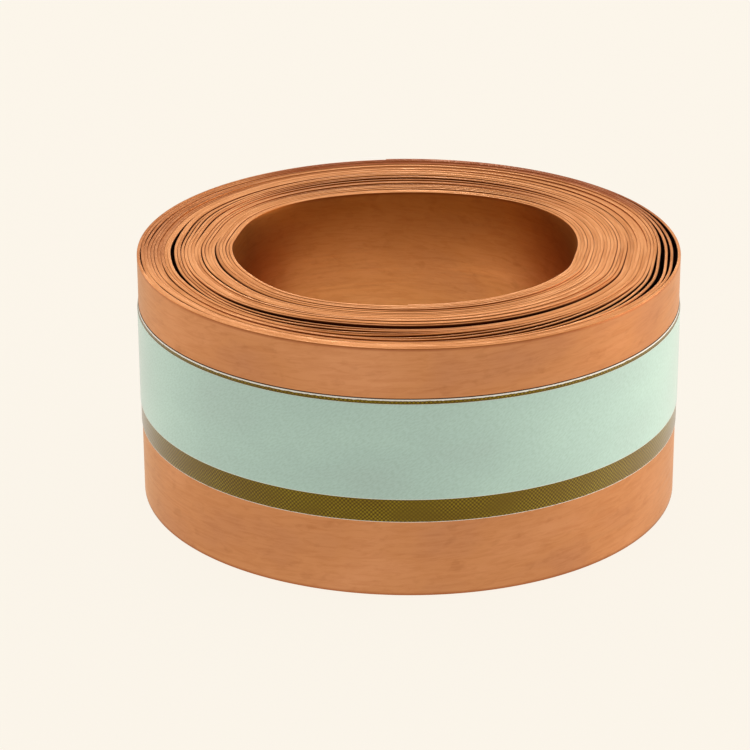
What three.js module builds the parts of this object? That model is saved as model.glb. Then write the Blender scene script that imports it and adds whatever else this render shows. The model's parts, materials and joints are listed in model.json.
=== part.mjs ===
// A roll of flat copper strip with a paper label band, standing on its edge.
//
// The strip is one long piece, wound outwards anticlockwise into a flat spiral round an open
// bore. It has no core: its own spring and the label hold it. Each lap is a solid of its own,
// and so is each piece of the last quarter of a turn, which lifts off the roll with the label
// that is stuck to it and is a chain of short pieces hinged to each other. Angles are in
// degrees anticlockwise from +X and count on past a full turn, so each place along the strip
// has one angle, which falls by 360 for each lap inwards.
import * as THREE from "three";

// Driving dimensions, in millimetres and degrees.
const STRIP_WIDTH = 25.4;
const STRIP_THICKNESS = 0.32;
const FULL_LAPS = 27;
const OUTER_RADIUS = 27.23; // at the free end
const OUTER_BULGE = 0.1; // how much further out the roll reaches along Y
const LAP_GAP = 0.012; // where laps lie tight
const INNER_SQUEEZE = 0.55; // how far the bore closes in along Y as the inner laps stand apart
const SQUEEZE_FROM_LAP = 12;
const LAST_SEAM = -90; // where the outermost full lap ends
const FREE_END = 95;
const SEAM_GAP = 0.05; // between one lap's end and the next one's start

const TAIL_PIECES = 9;
const TAIL_PIECE_ANGLE = 10;
const TAIL_PIECE_GAP = 0.1;
const TAIL_CLEARANCE = 0.04; // between the tail and the lap below it, on top of LAP_GAP

const LABEL_RISE = 1.4; // the label's middle above the strip's middle
const BACKING_WIDTH = 12.5;
const BACKING_THICKNESS = 0.06;
const LOWER_STRIPE = 2.35; // of backing that shows below the face
const UPPER_STRIPE = 0.45; // and above it
const FACE_THICKNESS = 0.05;
const LAYER_GAP = 0.01;
const LABEL_START = 15; // past the free end, where the label begins on the bare strip
const TAB_LENGTH = 26; // how far the label's last end runs on past the free end
const TAB_DROP = 9; // over which the tab comes down off the end of the strip

const LAP_STEP = 9;
const TAIL_STEP = 5;

// Where the laps stand apart, besides LAP_GAP. The gap opens at the first angle, is widest
// at the second and closes at the third; the fourth number counts the laps outside it and the
// last is its width.
const LOOSE_GAPS = [
  // right: the outer laps spring apart, each gap starting a little after the one inside it
  [-24, -5, 45, 1, 0.4],
  [-27, -8, 38, 2, 0.22],
  [-45, -15, 32, 3, 0.42],
  // front: a void that the laps cross one by one, and a wide gap below it
  [-60, -28, 6, 4, 0.34],
  [-72, -40, -8, 5, 0.34],
  [-84, -52, -20, 6, 0.34],
  [-96, -64, -32, 7, 0.34],
  [-108, -76, -44, 8, 0.34],
  [-118, -87, -55, 9, 0.34],
  [-127, -97, -66, 10, 0.32],
  [-136, -107, -78, 11, 0.28],
  [-148, -120, -90, 12, 0.2],
  [-170, -92, 2, 13, 0.5],
  // left: one clear gap, and fine ones on both sides of it
  [150, 185, 246, 10, 0.32],
  [150, 168, 188, 12, 0.09],
  [144, 166, 192, 13, 0.1],
  [132, 155, 180, 14, 0.1],
  [136, 158, 184, 16, 0.09],
  [158, 171, 184, 2, 0.06],
  [153, 168, 184, 3, 0.06],
  [176, 188, 202, 1, 0.07],
  [196, 212, 230, 2, 0.07],
  [186, 204, 220, 7, 0.06],
  [170, 212, 255, 18, 0.18],
  [165, 205, 250, 22, 0.18],
  // back: the inner laps lie slack
  [20, 92, 150, 16, 0.12],
  [24, 96, 158, 17, 0.15],
  [30, 90, 150, 18, 0.13],
  [34, 94, 152, 19, 0.14],
  [38, 98, 158, 20, 0.14],
  [40, 100, 160, 21, 0.14],
  [34, 94, 156, 22, 0.13],
  [26, 90, 152, 23, 0.12],
  [18, 86, 150, 24, 0.12],
  [15, 85, 148, 25, 0.11],
];

// Places worked out from them.
const STRIP_START = LAST_SEAM - 360 * FULL_LAPS;
const STRIP_LAPS = (FREE_END - STRIP_START) / 360;
const TAIL_START = FREE_END - TAIL_PIECES * TAIL_PIECE_ANGLE;
const TAB_LANDING = FREE_END + LABEL_START; // where the tab meets the label's own start
const TAB_END = FREE_END + TAB_LENGTH;
const BACKING_BOTTOM = (STRIP_WIDTH - BACKING_WIDTH) / 2 + LABEL_RISE;
const FACE_BOTTOM = BACKING_BOTTOM + LOWER_STRIPE;
const FACE_WIDTH = BACKING_WIDTH - LOWER_STRIPE - UPPER_STRIPE;
const FACE_OFFSET = LAYER_GAP + BACKING_THICKNESS + LAYER_GAP;
const LABEL_HEIGHT = FACE_OFFSET + FACE_THICKNESS;

const copper = new THREE.MeshStandardMaterial({
  color: 0xc8824f,
  roughness: 0.38,
  metalness: 1,
});
const backingPaper = new THREE.MeshStandardMaterial({
  color: 0x6d5717,
  roughness: 0.75,
  metalness: 0,
});
const facePaper = new THREE.MeshStandardMaterial({
  color: 0xa9bfae,
  roughness: 0.6,
  metalness: 0,
});

const { degToRad, smoothstep } = THREE.MathUtils;

// An angle brought into the half turn on each side of another one.
function nearTo(angle, centre) {
  return centre + THREE.MathUtils.euclideanModulo(angle - centre + 180, 360) - 180;
}

// How far the loose gaps outside a place on the strip push it inwards.
function loosePush(angle) {
  let push = 0;
  for (const [opens, widest, closes, lapsOutside, width] of LOOSE_GAPS) {
    const away = nearTo(angle, widest) - widest;
    const reach = away < 0 ? widest - opens : closes - widest;
    const lapsHere = Math.floor((FREE_END - (angle - away)) / 360);
    if (Math.abs(away) < reach && lapsHere >= lapsOutside)
      push += width * Math.cos((Math.PI / 2) * (away / reach)) ** 2;
  }
  return push;
}

// The radius of the strip's outer face at an angle along it.
function outerFace(angle) {
  const laps = (FREE_END - angle) / 360;
  const alongY = Math.sin(degToRad(angle)) ** 2;
  const slack = Math.max(0, laps - SQUEEZE_FROM_LAP) / (STRIP_LAPS - SQUEEZE_FROM_LAP);
  return (
    OUTER_RADIUS +
    OUTER_BULGE * alongY -
    laps * (STRIP_THICKNESS + LAP_GAP) -
    INNER_SQUEEZE * slack * alongY -
    loosePush(angle)
  );
}

// The same face on the tail, which stands clear of the lap below it.
function tailFace(angle) {
  return outerFace(angle) + TAIL_CLEARANCE;
}

// The face that the label's last end lies on: the tail, then, past the free end, the label's
// own start one lap below.
function tabFace(angle) {
  if (angle <= FREE_END) return tailFace(angle);
  const below = outerFace(angle - 360) + LABEL_HEIGHT + LAYER_GAP;
  return THREE.MathUtils.lerp(
    tailFace(FREE_END),
    below,
    smoothstep(angle, FREE_END, FREE_END + TAB_DROP),
  );
}

// The angle that a length of arc takes at the outside of the roll.
function angleOf(length) {
  return THREE.MathUtils.radToDeg(length / OUTER_RADIUS);
}

function pointAt(radius, angle) {
  return new THREE.Vector2(
    radius * Math.cos(degToRad(angle)),
    radius * Math.sin(degToRad(angle)),
  );
}

// The angles from first to last, with a stop at each whole step between them and at those of
// the given stops that lie between them. Bands that touch share their stops, so that their
// flat facets lie on each other.
function anglesBetween(first, last, step, stops = []) {
  const angles = new Set([first, last, ...stops.filter((a) => a > first && a < last)]);
  for (let a = (Math.floor(first / step) + 1) * step; a < last; a += step) angles.add(a);
  return [...angles].sort((a, b) => a - b);
}

// A thin wall that follows a face through a row of angles: it starts at an offset out from the
// face, and has a thickness outwards, a bottom edge and a width.
function bandAlong(name, face, angles, layer, material) {
  const inner = angles.map((a) => pointAt(face(a) + layer.offset, a));
  const outer = angles.map((a) => pointAt(face(a) + layer.offset + layer.thickness, a));
  const outline = new THREE.Shape([...outer, ...inner.reverse()]);
  const geometry = new THREE.ExtrudeGeometry(outline, {
    depth: layer.width,
    bevelEnabled: false,
  });
  const band = new THREE.Mesh(geometry, material);
  band.name = name;
  band.position.z = layer.bottom;
  return band;
}

const STRIP_LAYER = {
  offset: -STRIP_THICKNESS,
  thickness: STRIP_THICKNESS,
  bottom: 0,
  width: STRIP_WIDTH,
};
const BACKING_LAYER = {
  offset: LAYER_GAP,
  thickness: BACKING_THICKNESS,
  bottom: BACKING_BOTTOM,
  width: BACKING_WIDTH,
};
const FACE_LAYER = {
  offset: FACE_OFFSET,
  thickness: FACE_THICKNESS,
  bottom: FACE_BOTTOM,
  width: FACE_WIDTH,
};

const roll = new THREE.Group();

// What stays wound: the laps from the innermost outwards, the last of them only as far as the
// tail, and the label round it.
for (let lap = 1; lap <= FULL_LAPS + 1; lap++) {
  const first = STRIP_START + 360 * (lap - 1);
  const last = Math.min(first + 360 - angleOf(SEAM_GAP), TAIL_START);
  const name = `strip_lap_${String(lap).padStart(2, "0")}`;
  roll.add(bandAlong(name, outerFace, anglesBetween(first, last, LAP_STEP), STRIP_LAYER, copper));
}
const wrapped = anglesBetween(TAB_LANDING - 360, TAIL_START, LAP_STEP);
roll.add(
  bandAlong("label_backing", outerFace, wrapped, BACKING_LAYER, backingPaper),
  bandAlong("label_face", outerFace, wrapped, FACE_LAYER, facePaper),
);

// What lifts off: each piece of the tail holds its own stretch of strip and label, and the
// last one the label's tab, which holds the free end down.
const halfGap = angleOf(TAIL_PIECE_GAP) / 2;
const tab = anglesBetween(FREE_END, TAB_END, LAP_STEP, [FREE_END + TAB_DROP, TAB_LANDING]);
for (let i = 0; i < TAIL_PIECES; i++) {
  const tailPiece = new THREE.Group();
  const first = TAIL_START + i * TAIL_PIECE_ANGLE + halfGap;
  const end = TAIL_START + (i + 1) * TAIL_PIECE_ANGLE;
  const isLast = i === TAIL_PIECES - 1;
  const angles = anglesBetween(first, isLast ? end : end - halfGap, TAIL_STEP);
  const labelAngles = isLast ? [...angles, ...tab.slice(1)] : angles;
  const number = i + 1;
  tailPiece.add(
    bandAlong(`tail_strip_${number}`, tailFace, angles, STRIP_LAYER, copper),
    bandAlong(`tail_backing_${number}`, tabFace, labelAngles, BACKING_LAYER, backingPaper),
    bandAlong(`tail_face_${number}`, tabFace, labelAngles, FACE_LAYER, facePaper),
  );
  roll.add(tailPiece);
}

export default roll;
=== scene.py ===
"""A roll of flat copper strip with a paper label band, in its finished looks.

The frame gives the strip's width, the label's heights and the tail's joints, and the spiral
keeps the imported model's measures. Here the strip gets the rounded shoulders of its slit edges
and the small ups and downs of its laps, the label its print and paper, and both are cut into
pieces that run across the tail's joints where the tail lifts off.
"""

import json
import math

import bpy
import numpy as np
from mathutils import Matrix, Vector, noise


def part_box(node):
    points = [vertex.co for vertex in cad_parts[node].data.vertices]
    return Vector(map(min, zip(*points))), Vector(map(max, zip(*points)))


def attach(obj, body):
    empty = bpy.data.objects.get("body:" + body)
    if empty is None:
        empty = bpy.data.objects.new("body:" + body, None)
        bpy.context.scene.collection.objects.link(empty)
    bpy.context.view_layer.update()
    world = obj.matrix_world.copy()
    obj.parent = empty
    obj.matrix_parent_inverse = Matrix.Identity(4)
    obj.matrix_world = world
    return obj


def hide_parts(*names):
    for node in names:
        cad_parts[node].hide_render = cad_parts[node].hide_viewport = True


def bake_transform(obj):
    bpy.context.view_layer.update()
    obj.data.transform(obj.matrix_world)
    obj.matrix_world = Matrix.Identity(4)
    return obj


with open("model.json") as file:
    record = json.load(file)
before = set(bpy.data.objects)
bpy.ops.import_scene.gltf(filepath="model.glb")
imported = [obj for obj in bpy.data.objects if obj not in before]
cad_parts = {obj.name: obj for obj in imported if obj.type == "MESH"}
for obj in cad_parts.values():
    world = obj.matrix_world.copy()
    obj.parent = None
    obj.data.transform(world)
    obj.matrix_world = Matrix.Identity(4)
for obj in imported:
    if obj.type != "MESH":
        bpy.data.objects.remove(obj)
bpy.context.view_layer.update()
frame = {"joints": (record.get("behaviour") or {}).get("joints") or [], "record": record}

MM = 0.001

# ---------------------------------------------------------------- sizes, in mm and degrees

roll_nodes = frame["record"]["behaviour"]["bodies"]["roll"]
strip_nodes = [n for n in roll_nodes if "strip" in n]
strip_low, strip_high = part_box(strip_nodes[0])
backing_low, backing_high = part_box("label_backing")
face_low, face_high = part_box("label_face")

STRIP_WIDTH = (strip_high.z - strip_low.z) / MM
STRIP_THICKNESS = 0.32
FULL_LAPS = 27
LAST_SEAM = -90.0  # where the outermost full lap ends
OUTER_RADIUS = 27.23  # at the free end
OUTER_BULGE = 0.1  # how much further out the roll reaches along Y
LAP_GAP = 0.012
INNER_SQUEEZE = 0.55  # how far the bore closes in along Y
SQUEEZE_FROM_LAP = 12
FREE_END = 95.0
STRIP_START = LAST_SEAM - 360 * FULL_LAPS
STRIP_LAPS = (FREE_END - STRIP_START) / 360

TAIL_PIECES = len(frame["joints"])
TAIL_PIECE_ANGLE = 10.0
TAIL_START = FREE_END - TAIL_PIECES * TAIL_PIECE_ANGLE

BACKING_THICKNESS = 0.06
FACE_THICKNESS = 0.05
LAYER_GAP = 0.01
LABEL_LEAD = 15  # how far past the free end, one lap in, the label starts
LABEL_START = FREE_END + LABEL_LEAD - 360
TAB_ANGLE = 26  # how far the label's tab runs on past the free end
TAB_END = FREE_END + TAB_ANGLE
TAB_DROP = 9  # the angle over which the tab comes down onto the label's start

# Where the laps stand apart: the gap opens at the first angle, is widest at the second and
# closes at the third; then the laps outside it, and its width.
LOOSE_GAPS = [
    # right: the outer laps spring apart, each gap starting a little after the one inside it
    (-24, -5, 45, 1, 0.4),
    (-27, -8, 38, 2, 0.22),
    (-45, -15, 32, 3, 0.42),
    # front: a void that the laps cross one by one, and a wide gap below it
    (-60, -28, 6, 4, 0.34),
    (-72, -40, -8, 5, 0.34),
    (-84, -52, -20, 6, 0.34),
    (-96, -64, -32, 7, 0.34),
    (-108, -76, -44, 8, 0.34),
    (-118, -87, -55, 9, 0.34),
    (-127, -97, -66, 10, 0.32),
    (-136, -107, -78, 11, 0.28),
    (-148, -120, -90, 12, 0.2),
    (-170, -92, 2, 13, 0.5),
    # left: one clear gap, and fine ones on both sides of it
    (150, 185, 246, 10, 0.32),
    (150, 168, 188, 12, 0.09),
    (144, 166, 192, 13, 0.1),
    (132, 155, 180, 14, 0.1),
    (136, 158, 184, 16, 0.09),
    (158, 171, 184, 2, 0.06),
    (153, 168, 184, 3, 0.06),
    (176, 188, 202, 1, 0.07),
    (196, 212, 230, 2, 0.07),
    (186, 204, 220, 7, 0.06),
    (170, 212, 255, 18, 0.18),
    (165, 205, 250, 22, 0.18),
    # back: the inner laps lie slack
    (20, 92, 150, 16, 0.12),
    (24, 96, 158, 17, 0.15),
    (30, 90, 150, 18, 0.13),
    (34, 94, 152, 19, 0.14),
    (38, 98, 158, 20, 0.14),
    (40, 100, 160, 21, 0.14),
    (34, 94, 156, 22, 0.13),
    (26, 90, 152, 23, 0.12),
    (18, 86, 150, 24, 0.12),
    (15, 85, 148, 25, 0.11),
]

# ---------------------------------------------------------------- camera, lights and floor


def linear(hex_colour):
    """An sRGB hex colour as the linear RGBA that shaders take."""
    channels = [int(hex_colour[i : i + 2], 16) / 255 for i in (1, 3, 5)]
    return tuple(c / 12.92 if c <= 0.04045 else ((c + 0.055) / 1.055) ** 2.4 for c in channels) + (1.0,)


def add(tree, kind, settings, *values, **inputs):
    """Adds a node and sets its properties, or a colour ramp's stops, then sets or links its
    inputs, in order and by name. A node given as a value stands for its first output."""
    node = tree.nodes.new("ShaderNode" + kind)
    for key, value in settings.items():
        if key == "stops":
            elements = node.color_ramp.elements
            for i, (position, colour) in enumerate(value):
                stop = elements[i] if i < len(elements) else elements.new(position)
                stop.position, stop.color = position, linear(colour)
        else:
            setattr(node, key, value)
    pairs = list(zip([s for s in node.inputs if s.enabled], values))
    pairs += [(node.inputs[key.replace("_", " ")], value) for key, value in inputs.items()]
    for socket, value in pairs:
        if isinstance(value, bpy.types.Node):
            value = next(s for s in value.outputs if s.enabled)
        if isinstance(value, bpy.types.NodeSocket):
            tree.links.new(value, socket)
        else:
            socket.default_value = value
    return node


def new_material(name):
    """A material with an empty node tree, and the tree."""
    material = bpy.data.materials.new(name)
    material.use_nodes = True
    material.node_tree.nodes.clear()
    return material, material.node_tree


scene = bpy.context.scene
scene.view_settings.view_transform = "Standard"
scene.view_settings.look = "None"

EYE_DISTANCE = 0.308
EYE_ELEVATION = 22.5
look_at = Vector((0, 0, STRIP_WIDTH / 2 * MM))
back = Vector((0, -math.cos(math.radians(EYE_ELEVATION)), math.sin(math.radians(EYE_ELEVATION))))

camera = bpy.data.objects.new("camera", bpy.data.cameras.new("camera"))
camera.data.sensor_width = 36
camera.data.lens = 145.84
camera.data.shift_x = -0.0440
camera.data.shift_y = -0.0153
camera.data.clip_start = 0.01
camera.data.clip_end = 20
camera.location = look_at + back * EYE_DISTANCE
camera.rotation_mode = "QUATERNION"
camera.rotation_quaternion = (-back).to_track_quat("-Z", "Y")
scene.collection.objects.link(camera)
scene.camera = camera

world = bpy.data.worlds.new("studio")
world.use_nodes = True
world.node_tree.nodes.clear()
sky = add(world.node_tree, "Background", {}, Color=linear("#fff6ea"), Strength=0.5)
add(world.node_tree, "OutputWorld", {}, sky)
scene.world = world


def softbox(name, place, size, power, facing=look_at):
    """A rectangular light that faces a place."""
    data = bpy.data.lights.new(name, "AREA")
    data.shape = "RECTANGLE"
    data.size, data.size_y = size
    data.energy = power
    data.color = linear("#fff4e6")[:3]
    light = bpy.data.objects.new(name, data)
    light.location = place
    light.rotation_mode = "QUATERNION"
    light.rotation_quaternion = (facing - Vector(place)).to_track_quat("-Z", "Y")
    light.visible_camera = False
    scene.collection.objects.link(light)


# The back light lies in the top's mirror direction. Above and below it are two small bright
# ones that the rounded edges of the laps glint in, in line with the eye. The low side lights
# rake the outer wall, and the cards light the bore from low in its front half.
softbox("back_softbox", (0.0, 0.85, 0.42), (1.8, 0.45), 2.2)
softbox("high_glint", (0.0, 0.54, 0.68), (0.04, 0.12), 0.2)
softbox("low_glint", (0.0, 0.85, 0.07), (0.05, 0.1), 0.2)
softbox("left_softbox", (-0.8, 0.4, 0.08), (0.5, 0.18), 2.4)
softbox("right_softbox", (0.8, 0.17, 0.08), (0.7, 0.18), 5.6)
CARD_RADIUS = 14.7 * MM
CARD_SIZE = (7.4 * MM, 5 * MM)
CARD_POWER = 0.00019
card_middle = Vector((0, 0, 3.6 * MM))
for angle in range(180, 361, 30):
    outwards = Vector((math.cos(math.radians(angle)), math.sin(math.radians(angle)), 0))
    spot = card_middle + outwards * CARD_RADIUS
    softbox(f"bore_card_{angle}", spot, CARD_SIZE, CARD_POWER, facing=card_middle)


FLOOR_REACH = 3.0
FLOOR_DROP = 0.0001  # keeps the floor clear of the strip's lower edges


def make_floor():
    """A plain pale sheet, lit evenly, that takes only a faint shadow."""
    mesh = bpy.data.meshes.new("floor")
    r = FLOOR_REACH
    mesh.from_pydata([(-r, -r, 0), (r, -r, 0), (r, r, 0), (-r, r, 0)], [], [(0, 1, 2, 3)])
    floor = bpy.data.objects.new("floor", mesh)
    floor.location.z = -FLOOR_DROP
    scene.collection.objects.link(floor)
    material, tree = new_material("pale_paper_sweep")
    glow = add(tree, "Emission", {}, Color=linear("#fcf6eb"), Strength=0.955)
    matt = add(tree, "BsdfDiffuse", {}, Color=(0.06, 0.055, 0.05, 1))
    add(tree, "OutputMaterial", {}, add(tree, "AddShader", {}, glow, matt))
    floor.data.materials.append(material)


make_floor()

# ---------------------------------------------------------------- the strip's spiral


def loose_push(angle):
    """How far the loose gaps outside a place on the strip push it inwards."""
    push = 0.0
    for opens, widest, closes, laps_outside, width in LOOSE_GAPS:
        away = (angle - widest + 180) % 360 - 180
        reach = widest - opens if away < 0 else closes - widest
        laps_here = math.floor((FREE_END - (angle - away)) / 360)
        if abs(away) < reach and laps_here >= laps_outside:
            push += width * math.cos(math.pi / 2 * away / reach) ** 2
    return push


def outer_face(angle):
    """The radius of the strip's outer face at an angle along it."""
    laps = (FREE_END - angle) / 360
    along_y = math.sin(math.radians(angle)) ** 2
    slack = max(0.0, laps - SQUEEZE_FROM_LAP) / (STRIP_LAPS - SQUEEZE_FROM_LAP)
    return (
        OUTER_RADIUS
        + OUTER_BULGE * along_y
        - laps * (STRIP_THICKNESS + LAP_GAP)
        - INNER_SQUEEZE * slack * along_y
        - loose_push(angle)
    )


def tab_face(angle):
    """The face that the label lies on: the strip, then past the free end the label's own start."""
    if angle <= FREE_END:
        return outer_face(angle)
    label_height = 2 * LAYER_GAP + BACKING_THICKNESS + FACE_THICKNESS
    below = outer_face(angle - 360) + label_height + LAYER_GAP
    share = min(1.0, (angle - FREE_END) / TAB_DROP)
    share = share * share * (3 - 2 * share)
    return outer_face(FREE_END) * (1 - share) + below * share


def wander(seed, *place):
    """Smooth noise from -1 to 1 at a place."""
    x, y, z = (list(place) + [0.0, 0.0])[:3]
    return noise.noise(Vector((x + 17.3 * seed, y - 5.1 * seed, z + 3.7 * seed)))


# ---------------------------------------------------------------- meshes

SHOULDER_POINTS = 4
SHOULDER_SUPPORT = 0.3  # a row of points this far below a shoulder keeps the wall's shading flat


def outline(thickness, bottom, top, outer_shoulder, inner_shoulder, tilt=0.0):
    """A closed outline of (radial offset, height, roundness) with a rounded shoulder at each corner.
    The top leans by tilt from the inner corner to the outer. Roundness is 1 on the flat of an
    end and falls to 0 down its shoulders, and is 0 on the walls."""
    arc = [math.pi / 2 * k / (SHOULDER_POINTS - 1) for k in range(SHOULDER_POINTS)]

    def corner(side, shoulder):
        reach = [(shoulder * (1 - math.cos(t)), shoulder * (1 - math.sin(t)), math.sin(t)) for t in arc]
        return [(thickness - x if side > 0 else x, depth, rounded) for x, depth, rounded in reach]

    outer, inner = corner(1, outer_shoulder), corner(-1, inner_shoulder)
    outer_top, inner_top = top - tilt / 2, top + tilt / 2
    points = [(thickness, outer_top - outer_shoulder - SHOULDER_SUPPORT, 0.0)]
    points += [(x, outer_top - depth, rounded) for x, depth, rounded in outer]
    points += [(x, inner_top - depth, rounded) for x, depth, rounded in inner[::-1]]
    points += [(0.0, inner_top - inner_shoulder - SHOULDER_SUPPORT, 0.0)]
    points += [(0.0, bottom + inner_shoulder + SHOULDER_SUPPORT, 0.0)]
    points += [(x, bottom + depth, rounded) for x, depth, rounded in inner]
    points += [(x, bottom + depth, rounded) for x, depth, rounded in outer[::-1]]
    points += [(thickness, bottom + outer_shoulder + SHOULDER_SUPPORT, 0.0)]
    return points


def sweep(name, sections, marks, material):
    """A closed band through a row of sections, each the same closed loop of points.
    marks holds six numbers for each point, kept on the mesh as strip_place and strip_state."""
    rows, count = len(sections), len(sections[0])
    vertices = [p for section in sections for p in section]
    faces = []
    for i in range(rows - 1):
        a, b = i * count, (i + 1) * count
        for k in range(count):
            n = (k + 1) % count
            faces.append((a + k, a + n, b + n, b + k))
    faces.append(tuple(range(count))[::-1])
    faces.append(tuple((rows - 1) * count + k for k in range(count)))
    mesh = bpy.data.meshes.new(name)
    mesh.from_pydata(vertices, [], faces)
    mesh.validate()
    mesh.shade_smooth()
    mesh.set_sharp_from_angle(angle=math.radians(50))
    values = np.array(marks, np.float32)
    for attribute, columns in (("strip_place", values[:, :3]), ("strip_state", values[:, 3:])):
        stored = mesh.attributes.new(attribute, "FLOAT_VECTOR", "POINT")
        stored.data.foreach_set("vector", columns.ravel())
    mesh.materials.append(material)
    piece = bpy.data.objects.new(name, mesh)
    scene.collection.objects.link(piece)
    return piece


def arc_length(angle):
    """About how far along the strip an angle is, in metres, from the free end inwards."""
    laps = (FREE_END - angle) / 360
    mean = OUTER_RADIUS - laps * (STRIP_THICKNESS + LAP_GAP) / 2
    return laps * 2 * math.pi * mean * MM


STRIP_STEP = 1.5  # degrees between sections, on the roll and on the bends
JOIN_STEP = 0.75
LAP_WANDER = 0.2  # how far the laps stand above or below each other
LEAST_SHOULDER = 0.012  # the rounding of the slit edges, where a seam is shut and where it is open
MOST_SHOULDER = 0.08
EDGE_TILT = 0.05  # how far an edge leans, at most
BARE_RIM = 0.4  # how dark the rims of the bare faces are, where a seam's is up to 1
BARE_SEAM = (0.5, 0.0)  # the openness and gap of a face that no lap lies beside
WIDE_GAP = 0.06  # the gap from which a seam counts as fully open

# How high the laps stand in their wander, from 0 to 1, by the count of laps outside them.
LAP_HEIGHTS = [
    (0, 0.85),
    (3.5, 0.8),
    (4.5, 0.3),
    (12.5, 0.4),
    (13.5, 1.0),
    (18, 0.8),
    (20, 0.45),
    (24, 0.8),
    (28, 1.0),
]

# Where the edges lie level and the seams close up, and where they are darker brown: the
# middle and the half width round the roll, the first and last count of laps outside, and how
# strongly.
LEVEL_EDGES = [
    (255, 75, 0.0, 4.3, 1.0),
    (0, 35, 6.5, 9.5, 1.0),
    (200, 45, 5.5, 8.5, 1.0),
    (95, 50, 8.0, 12.0, 1.0),
    (275, 50, 14.5, 17.0, 1.0),
]
BROWN_EDGES = [
    (75, 80, -1.0, 4.8, 1.0),
    (160, 48, -1.0, 9.0, 0.6),
    (90, 70, 15.5, 22.5, 0.55),
    (268, 42, 5.0, 14.6, 0.5),
]


def within(zones, angle):
    """How far inside the zones a place on the strip is, from 0 to the strongest zone's weight."""
    laps = (FREE_END - angle) / 360
    most = 0.0
    for middle, half_width, first, last, weight in zones:
        away = abs((angle - middle + 180) % 360 - 180) / half_width
        inside = min(1, max(0, laps - first)) * min(1, max(0, last - laps))
        most = max(most, weight * inside * min(1, max(0, 2 * (1 - away))))
    return most


def lap_height(angle):
    """Where a lap stands in its wander at an angle: the profile above, and slow drifts along it."""
    laps = (FREE_END - angle) / 360
    profile = np.interp(laps, [row[0] for row in LAP_HEIGHTS], [row[1] for row in LAP_HEIGHTS])
    slow = wander(1, angle / 140, laps * 0.4)
    return float(min(1, max(0, profile + 0.55 * slow)))


def seam(angle):
    """The seam outside the strip at an angle: how open it looks and how wide its gap is."""
    gap = outer_face(angle + 360) - STRIP_THICKNESS - outer_face(angle) - LAP_GAP
    seam_showing = 0.25 + 1.5 * wander(2, angle / 75) + 0.5 * wander(3, angle / 21)
    seam_showing = min(1, max(0, seam_showing)) * (1 - within(LEVEL_EDGES, angle))
    wide = min(1, max(0, gap / WIDE_GAP))
    return max(seam_showing, wide), gap


def beside(covered, angle):
    """Whether a lap covers a face of the strip, how open the seam there looks and how wide its
    gap is. The angle is that of the lap inside the seam."""
    return (covered, *(seam(angle) if covered else BARE_SEAM))


def shoulder_at(openness):
    """The rounding of a slit edge beside a seam of a given openness."""
    return LEAST_SHOULDER + (MOST_SHOULDER - LEAST_SHOULDER) * openness


def strip_section(angle):
    """The strip's section at an angle, and its marks: the length along it, the height and the
    roundness; how dark the painted shade of the seam beside it is and how wide its gap is; and
    how brown it is, where the bore's wall counts in full for its painted shade."""
    face = outer_face(angle)
    height_here = lap_height(angle)
    bottom = LAP_WANDER * height_here
    top = STRIP_WIDTH - LAP_WANDER * (1 - height_here)
    outer_side = beside(angle < FREE_END - 360, angle)
    inner_side = beside(angle > STRIP_START + 360, angle - 360)
    tilt = EDGE_TILT * wander(4, angle / 110)
    c, s = math.cos(math.radians(angle)), math.sin(math.radians(angle))
    along = arc_length(angle)
    brown_and_bore_shade = within(BROWN_EDGES, angle)
    shoulders = [shoulder_at(openness) for _, openness, _ in (outer_side, inner_side)]
    section = outline(STRIP_THICKNESS, bottom, top, *shoulders, tilt)
    points, marks = [], []
    for offset, height, rounded in section:
        r = (face - STRIP_THICKNESS + offset) * MM
        points.append((r * c, r * s, height * MM))
        outside = offset > STRIP_THICKNESS / 2
        covered, openness, gap = outer_side if outside else inner_side
        at_rim = min(height - bottom, top - height) < max(shoulders) + abs(tilt)
        # dark sets how strong the painted seam shade is here.
        dark = openness if covered else BARE_RIM * at_rim
        # The last mark is how brown the strip is here, and 1 on the bore's wall, which takes a painted
        # shade from it.
        mark = brown_and_bore_shade if covered or outside else 1 - rounded
        marks.append((along, height * MM, rounded, dark * (1 - rounded), gap * covered, mark))
    return points, marks


def label_section(angle, inner, thickness, bottom, top):
    """A label layer's section at an angle, inner mm off the strip, and its marks: the length
    along it, the height above its lower edge, the depth below its upper one and the roundness."""
    face = tab_face(angle) + inner
    c, s = math.cos(math.radians(angle)), math.sin(math.radians(angle))
    along = arc_length(angle)
    points, marks = [], []
    for offset, height, rounded in outline(thickness, bottom, top, thickness / 3, thickness / 3):
        r = (face + offset) * MM
        points.append((r * c, r * s, height * MM))
        marks.append((along, (height - bottom) * MM, (top - height) * MM, rounded, 0, 0))
    return points, marks


def stations(first, last, step):
    """Even angles from first to last, no further apart than step."""
    count = max(1, math.ceil((last - first) / step - 1e-9))
    return [first + (last - first) * i / count for i in range(count + 1)]


def band(name, first, last, step, section, material):
    """A sweep of a section from the first angle to the last."""
    made = [section(a) for a in stations(first, last, step)]
    return sweep(name, [m[0] for m in made], [p for m in made for p in m[1]], material)


# ---------------------------------------------------------------- materials


TINT = {"data_type": "RGBA", "blend_type": "MULTIPLY"}
BLEND = {"data_type": "RGBA"}


def strip_map(tree, along, up=math.inf, turn=0.0):
    """The place on the strip, counted in the given millimetres along it and up it, after a turn
    by degrees."""
    place = add(tree, "Attribute", {"attribute_name": "strip_place"})
    flat = add(tree, "VectorMath", {"operation": "MULTIPLY"}, place.outputs["Vector"], (1 / MM, 1 / MM, 0))
    turned = add(tree, "Mapping", {}, flat, Rotation=(0, 0, math.radians(turn)))
    return add(tree, "Mapping", {}, turned, Scale=(1 / along, 1 / up, 1))


# A painted shadow line on the strip just above the label's backing: its rise and half width.
LABEL_SHADOW_RISE = 0.04  # how far above the label's backing its dark line on the strip lies
LABEL_SHADOW_HALF = 0.05  # half the line's width


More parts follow.
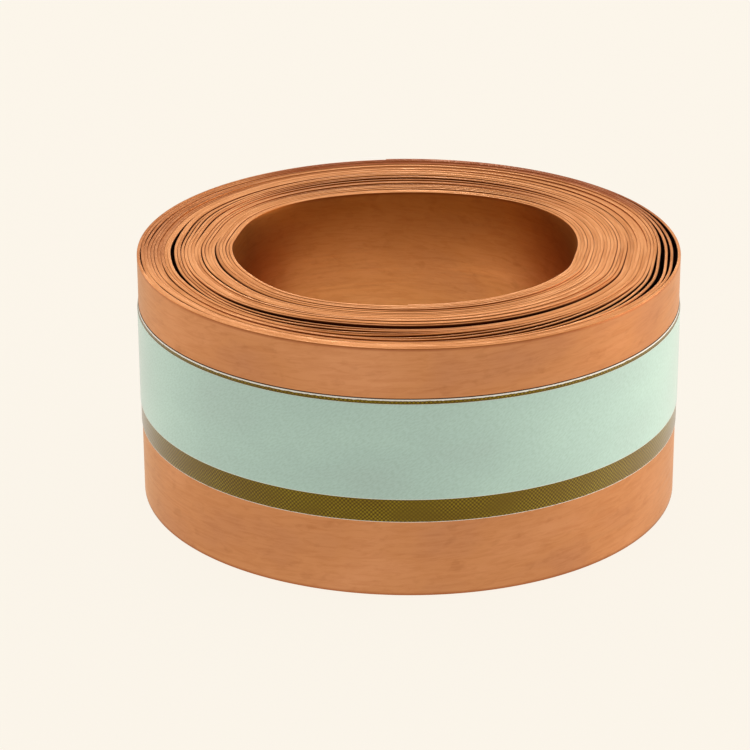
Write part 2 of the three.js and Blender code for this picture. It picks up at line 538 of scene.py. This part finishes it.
def copper_strip():
    """Cold-rolled copper, slit to width. The rolled faces are satin, with long rolling lines, a
    fine wavy grain, soft handling stains and a few scratches. The slit edges are smoother and
    streaked, burnished in some stretches and darker brown in others. The seams between laps
    carry a painted shade, brown, and black where they stand open."""
    material, tree = new_material("rolled_copper")
    place = add(tree, "Attribute", {"attribute_name": "strip_place"}).outputs["Vector"]
    state = add(tree, "Attribute", {"attribute_name": "strip_state"}).outputs["Vector"]
    along, up, edge = add(tree, "SeparateXYZ", {}, place).outputs
    seam_shade_mark, gap, brown_and_bore_shade = add(tree, "SeparateXYZ", {}, state).outputs

    up_share = add(tree, "Math", {"operation": "DIVIDE"}, up, STRIP_WIDTH * MM)

    # The rolled faces.
    stain = add(tree, "TexNoise", {}, strip_map(tree, 11, 7), Scale=1.0, Detail=3.0)
    waves = strip_map(tree, 2.6, 0.42, 4)
    grain = add(tree, "TexNoise", {}, waves, Scale=1.0, Detail=5.0, Roughness=0.62, Distortion=0.8)
    smudge = add(tree, "TexNoise", {}, strip_map(tree, 2.2, 1.3, 12), Scale=1.0, Detail=4.0)
    face = add(tree, "ValToRGB", {"stops": [(0.3, "#c3855c"), (0.5, "#cb8b5c"), (0.7, "#d29265")]}, stain)
    grain_tone = add(tree, "ValToRGB", {"stops": [(0.34, "#dcc6b2"), (0.56, "#ffffff")]}, grain)
    face = add(tree, "Mix", TINT, 0.3, face, grain_tone)
    smudge_tone = add(tree, "ValToRGB", {"stops": [(0.32, "#cbb7a6"), (0.42, "#ffffff")]}, smudge)
    face = add(tree, "Mix", TINT, 0.2, face, smudge_tone)
    # Painted shade: the bore's wall darkens towards its top, and the faces in the brown zones do so in
    # part.
    bore_painted_shade = add(tree, "ValToRGB", {"stops": [(0.66, "#f9ffec"), (0.94, "#cfc490")]}, up_share)
    face = add(tree, "Mix", TINT, brown_and_bore_shade, face, bore_painted_shade)

    # The slit edges.
    lap_tone = add(tree, "TexNoise", {}, strip_map(tree, 33), Scale=1.0, Detail=2.0)
    blotch = add(tree, "TexNoise", {}, strip_map(tree, 9), Scale=1.0, Detail=4.0)
    tone = add(tree, "Mix", {}, 0.35, lap_tone, blotch)
    tones = [(0.34, "#b06830"), (0.46, "#d28a50"), (0.6, "#e29c66"), (0.75, "#f2b980")]
    slit = add(tree, "ValToRGB", {"stops": tones}, tone)
    speckle = add(tree, "TexNoise", {}, strip_map(tree, 0.8), Scale=1.0, Detail=3.0)
    brown = add(tree, "Math", {"operation": "ADD"}, brown_and_bore_shade, speckle)
    brown = add(tree, "MapRange", {}, brown, 0.55, 1.25)
    brown = add(tree, "Math", {"operation": "MULTIPLY"}, brown, brown_and_bore_shade)
    slit = add(tree, "Mix", BLEND, brown, slit, linear("#944006"))
    colour = add(tree, "Mix", BLEND, edge, face, slit)

    # Painted shade in the seams between laps, deepest close to the edges and near black where a gap stands
    # open; on faces that no lap covers it darkens a band along the rims.
    below_top = add(tree, "Math", {"operation": "SUBTRACT"}, STRIP_WIDTH * MM, up)
    depth = add(tree, "Math", {"operation": "MINIMUM"}, up, below_top)
    near_edge = add(tree, "MapRange", {}, depth, 1.2 * MM, 0.6 * MM)
    seam_shade = add(tree, "Math", {"operation": "MULTIPLY", "use_clamp": True}, seam_shade_mark, 1.6)
    seam_shade = add(tree, "Math", {"operation": "MULTIPLY"}, seam_shade, near_edge)
    gap_shadow = add(tree, "MapRange", {}, gap, 0.06, 0.36)
    not_brown = add(tree, "Math", {"operation": "SUBTRACT"}, 1.0, brown_and_bore_shade)
    gap_shadow = add(tree, "Math", {"operation": "MULTIPLY"}, gap_shadow, not_brown)
    seam_shade_tone = add(tree, "Mix", BLEND, gap_shadow, linear("#8a401a"), linear("#100402"))
    colour = add(tree, "Mix", BLEND, seam_shade, colour, seam_shade_tone)

    # Painted shadow: a dark line on the strip just above the label's upper edge.
    label_shadow_height = backing_high.z + LABEL_SHADOW_RISE * MM
    above = add(tree, "Math", {"operation": "COMPARE"}, up, label_shadow_height, LABEL_SHADOW_HALF * MM)
    beside_label = add(tree, "Math", {"operation": "LESS_THAN"}, along, arc_length(LABEL_START))
    label_shadow = add(tree, "Math", {"operation": "MULTIPLY"}, above, beside_label)
    colour = add(tree, "Mix", BLEND, label_shadow, colour, linear("#4a3426"))

    # Roughness and relief. The slit edges and their shoulders have no relief, so they don't glitter.
    rolling = add(tree, "TexNoise", {}, strip_map(tree, 20, 0.2), Scale=1.0, Detail=3.0)
    burnished = add(tree, "TexNoise", {}, strip_map(tree, 7), Scale=1.0, Detail=2.0)
    face_rough = add(tree, "MapRange", {}, rolling, 0.3, 0.7, 0.36, 0.46)
    edge_rough = add(tree, "MapRange", {}, burnished, 0.45, 0.6, 0.42, 0.28)
    rough = add(tree, "Mix", {}, edge, face_rough, edge_rough)

    relief = rolling
    for turn, most in ((32, 0.72), (-24, 0.73)):
        scratches = add(tree, "TexNoise", {}, strip_map(tree, 4.0, 0.2, turn), Scale=1.0)
        scratch = add(tree, "MapRange", {}, scratches, 0.62, most, 0.0, 0.8)
        relief = add(tree, "Math", {"operation": "SUBTRACT"}, relief, scratch)
    relief = add(tree, "Math", {"operation": "ADD"}, relief, grain)
    on_face = add(tree, "MapRange", {}, depth, 0.4 * MM, 0.9 * MM, 0.0, 0.5)
    bump = add(tree, "Bump", {}, Height=relief, Strength=on_face, Distance=0.006 * MM)
    shader = add(
        tree,
        "BsdfPrincipled",
        {},
        Base_Color=colour,
        Metallic=1.0,
        Roughness=rough,
        Specular_Tint=(1.0, 0.95, 0.84, 1.0),
        Normal=bump,
    )
    add(tree, "OutputMaterial", {}, shader)
    return material


def cut_border(tree, at_bottom, at_top):
    """1 within the given millimetres of a label layer's lower and upper edges, raggedly."""
    place = add(tree, "Attribute", {"attribute_name": "strip_place"}).outputs["Vector"]
    along, from_bottom, from_top = add(tree, "SeparateXYZ", {}, place).outputs
    tears = add(tree, "TexNoise", {}, strip_map(tree, 0.7), Scale=1.0, Detail=4.0, Roughness=0.7)
    ragged = add(tree, "MapRange", {}, tears, 0.3, 0.7, 0.6, 1.3)
    borders = []
    for away, width in ((from_bottom, at_bottom), (from_top, at_top)):
        limit = add(tree, "Math", {"operation": "MULTIPLY"}, ragged, width * MM)
        borders.append(add(tree, "Math", {"operation": "LESS_THAN"}, away, limit))
    return add(tree, "Math", {"operation": "MAXIMUM"}, *borders)


def diagonal_weave(tree, turn, pitch):
    """Parallel threads, pitch mm apart and a little uneven, at an angle to the strip."""
    across = add(tree, "SeparateXYZ", {}, strip_map(tree, 1, 1, turn)).outputs["Y"]
    uneven = add(tree, "TexNoise", {}, strip_map(tree, 0.8, 0.8), Scale=1.0)
    uneven = add(tree, "Math", {"operation": "MULTIPLY"}, uneven, 5.0)
    phase = add(tree, "Math", {"operation": "MULTIPLY_ADD"}, across, 2 * math.pi / pitch, uneven)
    return add(tree, "Math", {"operation": "SINE"}, phase)


WEAVE_PITCH = 0.28  # a little coarse, so that it shows


def olive_backing():
    """Crepe paper printed olive, with a fine diagonal weave pressed into it. Its cut edges show
    the white of the paper, and it pales where it turns away."""
    material, tree = new_material("olive_crepe_paper")
    threads = [diagonal_weave(tree, turn, WEAVE_PITCH) for turn in (45, -45)]
    weave = add(tree, "Math", {"operation": "ADD"}, *threads)
    pressure = add(tree, "TexNoise", {}, strip_map(tree, 4, 2), Scale=1.0)
    pressed = add(tree, "MapRange", {}, pressure, 0.35, 0.65, 0.25, 1.0)
    weave = add(tree, "Math", {"operation": "MULTIPLY"}, weave, pressed)
    shade = add(tree, "MapRange", {}, weave, -2.0, 2.0)
    colour = add(tree, "ValToRGB", {"stops": [(0.2, "#584307"), (0.5, "#77620c"), (0.8, "#978214")]}, shade)
    wash = add(tree, "TexNoise", {}, strip_map(tree, 8, 3), Scale=1.0, Detail=3.0)
    wash_tone = add(tree, "ValToRGB", {"stops": [(0.3, "#e0c8ac"), (0.7, "#ffffff")]}, wash)
    colour = add(tree, "Mix", TINT, 0.5, colour, wash_tone)
    colour = add(tree, "Mix", BLEND, cut_border(tree, 0.05, 0.14), colour, linear("#f6f6f2"))
    bump = add(tree, "Bump", {}, Height=weave, Strength=0.4, Distance=0.01 * MM)
    shader = add(
        tree,
        "BsdfPrincipled",
        {},
        Base_Color=colour,
        Roughness=0.6,
        Specular_IOR_Level=0.1,
        Sheen_Weight=1.0,
        Sheen_Roughness=0.38,
        Normal=bump,
    )
    add(tree, "OutputMaterial", {}, shader)
    return material


def mint_face():
    """Smooth uncoated paper in pale mint, faintly clouded and fine-grained, with a lighter cut
    edge. It pales where it turns away."""
    material, tree = new_material("mint_paper")
    cloud = add(tree, "TexNoise", {}, strip_map(tree, 14, 8), Scale=1.0, Detail=3.0)
    grain = add(tree, "TexNoise", {}, strip_map(tree, 0.4, 0.16, 35), Scale=1.0, Detail=3.0)
    colour = add(tree, "ValToRGB", {"stops": [(0.3, "#b9d4cd"), (0.5, "#bcdad2"), (0.7, "#c1e0d7")]}, cloud)
    grain_tone = add(tree, "ValToRGB", {"stops": [(0.35, "#e2e8e2"), (0.6, "#ffffff")]}, grain)
    colour = add(tree, "Mix", TINT, 0.5, colour, grain_tone)
    colour = add(tree, "Mix", BLEND, cut_border(tree, 0.05, 0.03), colour, linear("#e6efe8"))
    bump = add(tree, "Bump", {}, Height=grain, Strength=0.3, Distance=0.01 * MM)
    shader = add(
        tree,
        "BsdfPrincipled",
        {},
        Base_Color=colour,
        Roughness=0.5,
        Specular_IOR_Level=0.3,
        Sheen_Weight=0.8,
        Sheen_Roughness=0.3,
        Normal=bump,
    )
    add(tree, "OutputMaterial", {}, shader)
    return material


copper = copper_strip()
olive = olive_backing()
mint = mint_face()

# ---------------------------------------------------------------- pieces

FACE_INNER = LAYER_GAP + BACKING_THICKNESS + LAYER_GAP


def backing_section(angle):
    return label_section(angle, LAYER_GAP, BACKING_THICKNESS, backing_low.z / MM, backing_high.z / MM)


def face_section(angle):
    return label_section(angle, FACE_INNER, FACE_THICKNESS, face_low.z / MM, face_high.z / MM)


LABEL_SPAN = (LABEL_START, TAB_END)
LAYERS = [
    # name, where it starts and ends, section, material, slot, the nodes of its wound part
    ("strip", (STRIP_START, FREE_END), strip_section, copper, "copper", strip_nodes),
    ("backing", LABEL_SPAN, backing_section, olive, "label_backing", ["label_backing"]),
    ("face", LABEL_SPAN, face_section, mint, "label_face", ["label_face"]),
]
half = TAIL_PIECE_ANGLE / 2


for layer, (start, end), section, material, slot_name, wound_nodes in LAYERS:
    wound = band(f"{layer}_wound", start, TAIL_START - half, STRIP_STEP, section, material)
    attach(wound, "roll")
    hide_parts(*wound_nodes)
    # Each bend runs from the middle of one tail piece to the middle of the next.
    for i in range(TAIL_PIECES):
        joint = TAIL_START + i * TAIL_PIECE_ANGLE
        last = end if i == TAIL_PIECES - 1 else joint + half
        bend = band(f"{layer}_bend_{i + 1}", joint - half, last, JOIN_STEP, section, material)
        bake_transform(bend)
        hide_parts(f"tail_{layer}_{i + 1}")
